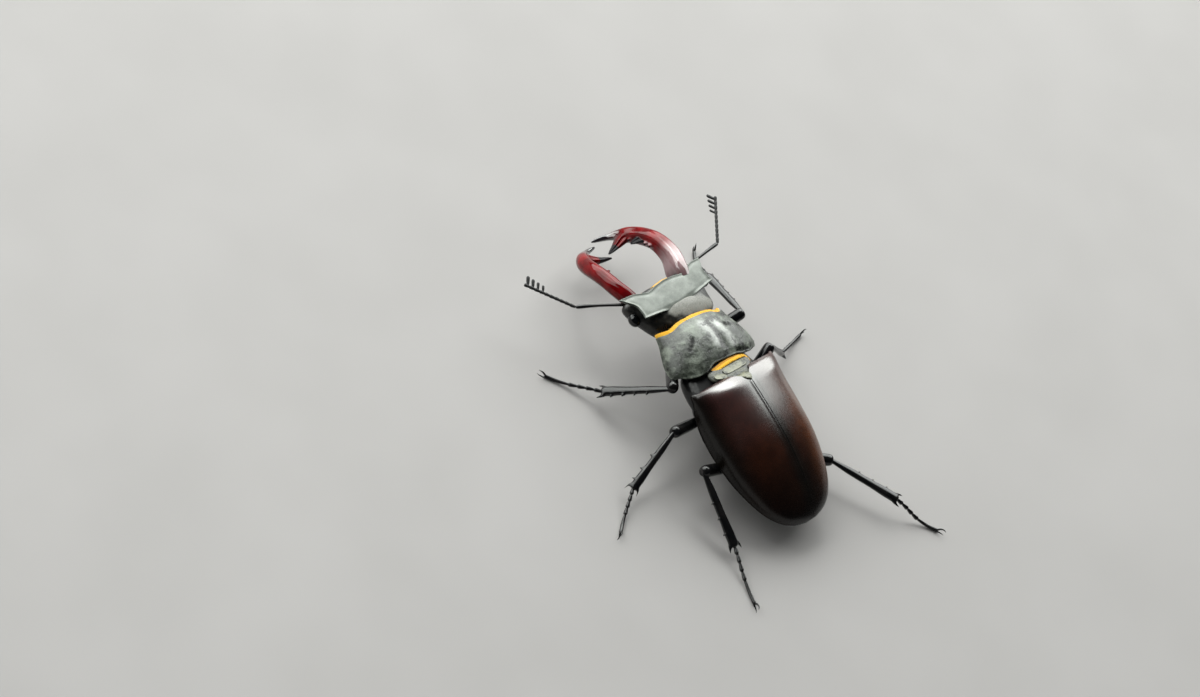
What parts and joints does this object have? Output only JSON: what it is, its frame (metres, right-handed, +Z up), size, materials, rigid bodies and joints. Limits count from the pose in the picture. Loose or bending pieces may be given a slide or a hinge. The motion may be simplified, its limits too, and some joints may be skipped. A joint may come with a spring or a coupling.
{
  "type": "stag beetle",
  "caption": "Male stag beetle as a still life-size model on six spread feet, with down-curved antler-like jaws, rimmed head plateau, grey-black shields and dark maroon wing cases.",
  "frame": {"origin": "on the floor under the centre of the box round the whole beetle", "axes": "+Z up; the beetle faces -Y, its left side is +X, and its length runs along Y"},
  "size_m": [0.0652, 0.0812, 0.0164],
  "materials": {
    "wing_case": "dark maroon horn, finely grained, satin gloss",
    "jaw_red": "deep red horn darkening to black at the teeth and tips, gloss",
    "shield": "black horn with a fine grain, satin",
    "black_shell": "black horn, gloss",
    "eye_black": "black, gloss",
    "club_brown": "dark grey-brown, matt"
  },
  "bodies": {
    "root": {"abdomen": "black_shell", "antenna_club_left": "club_brown", "antenna_club_right": "club_brown", "antenna_scape_left": "black_shell", "antenna_scape_right": "black_shell", "coxa_fore_left": "black_shell", "coxa_fore_right": "black_shell", "coxa_hind_left": "black_shell", "coxa_hind_right": "black_shell", "coxa_middle_left": "black_shell", "coxa_middle_right": "black_shell", "elytron_left": "wing_case", "elytron_right": "wing_case", "eye_left": "eye_black", "eye_right": "eye_black", "femur_fore_left": "black_shell", "femur_fore_right": "black_shell", "femur_hind_left": "black_shell", "femur_hind_right": "black_shell", "femur_middle_left": "black_shell", "femur_middle_right": "black_shell", "head": "shield", "labrum": "shield", "mandible_left": "jaw_red", "mandible_right": "jaw_red", "metathorax": "black_shell", "palp_left": "black_shell", "palp_right": "black_shell", "pronotum": "shield", "prosternum": "black_shell", "scutellum": "shield", "tarsus_fore_left": "black_shell", "tarsus_fore_right": "black_shell", "tarsus_hind_left": "black_shell", "tarsus_hind_right": "black_shell", "tarsus_middle_left": "black_shell", "tarsus_middle_right": "black_shell", "tibia_fore_left": "black_shell", "tibia_fore_right": "black_shell", "tibia_hind_left": "black_shell", "tibia_hind_right": "black_shell", "tibia_middle_left": "black_shell", "tibia_middle_right": "black_shell"}
  },
  "joints": []
}
